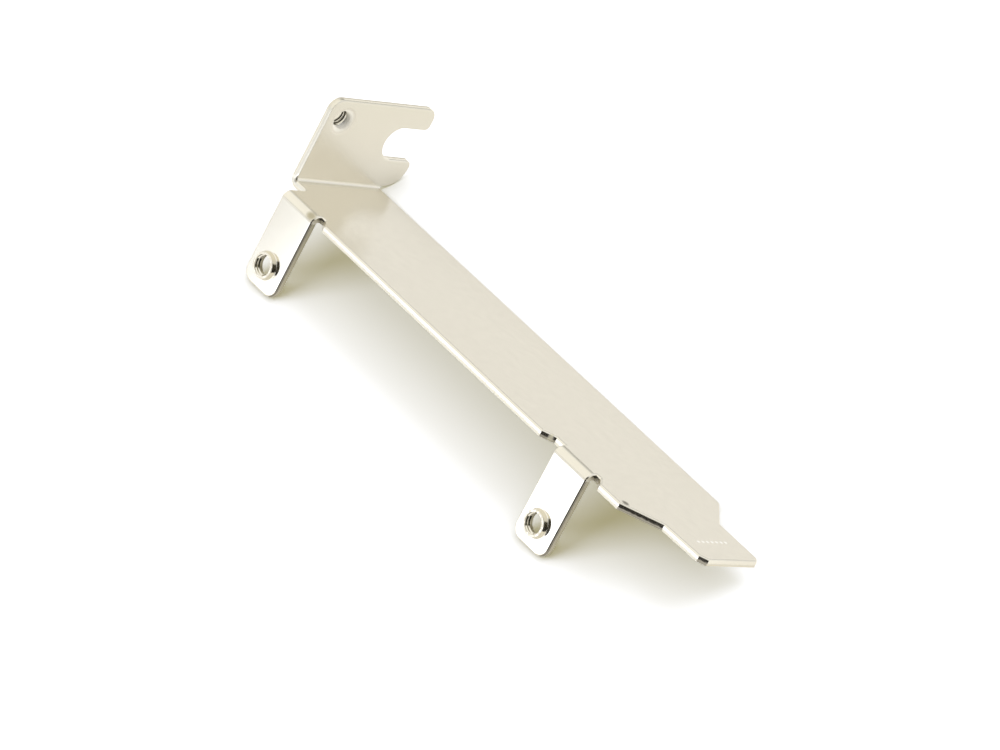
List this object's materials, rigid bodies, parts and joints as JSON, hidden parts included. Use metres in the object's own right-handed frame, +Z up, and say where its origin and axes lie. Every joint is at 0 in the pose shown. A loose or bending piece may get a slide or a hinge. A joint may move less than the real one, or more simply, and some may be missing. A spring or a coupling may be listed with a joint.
{
  "type": "low profile card bracket",
  "caption": "Low profile expansion card bracket: one folded sheet with a slotted screw flange, tapped tabs that hold the card and a stepped tongue for the case.",
  "frame": {"origin": "centre of the bounding box, on the floor that the part rests on", "axes": "+X along the plate from the flange to the tongue, +Y across it away from the tabs, +Z up"},
  "size_m": [0.0814, 0.0308, 0.0177],
  "materials": {
    "nickel": "bright nickel plate on steel"
  },
  "bodies": {
    "root": {"bracket": "nickel"}
  },
  "joints": []
}
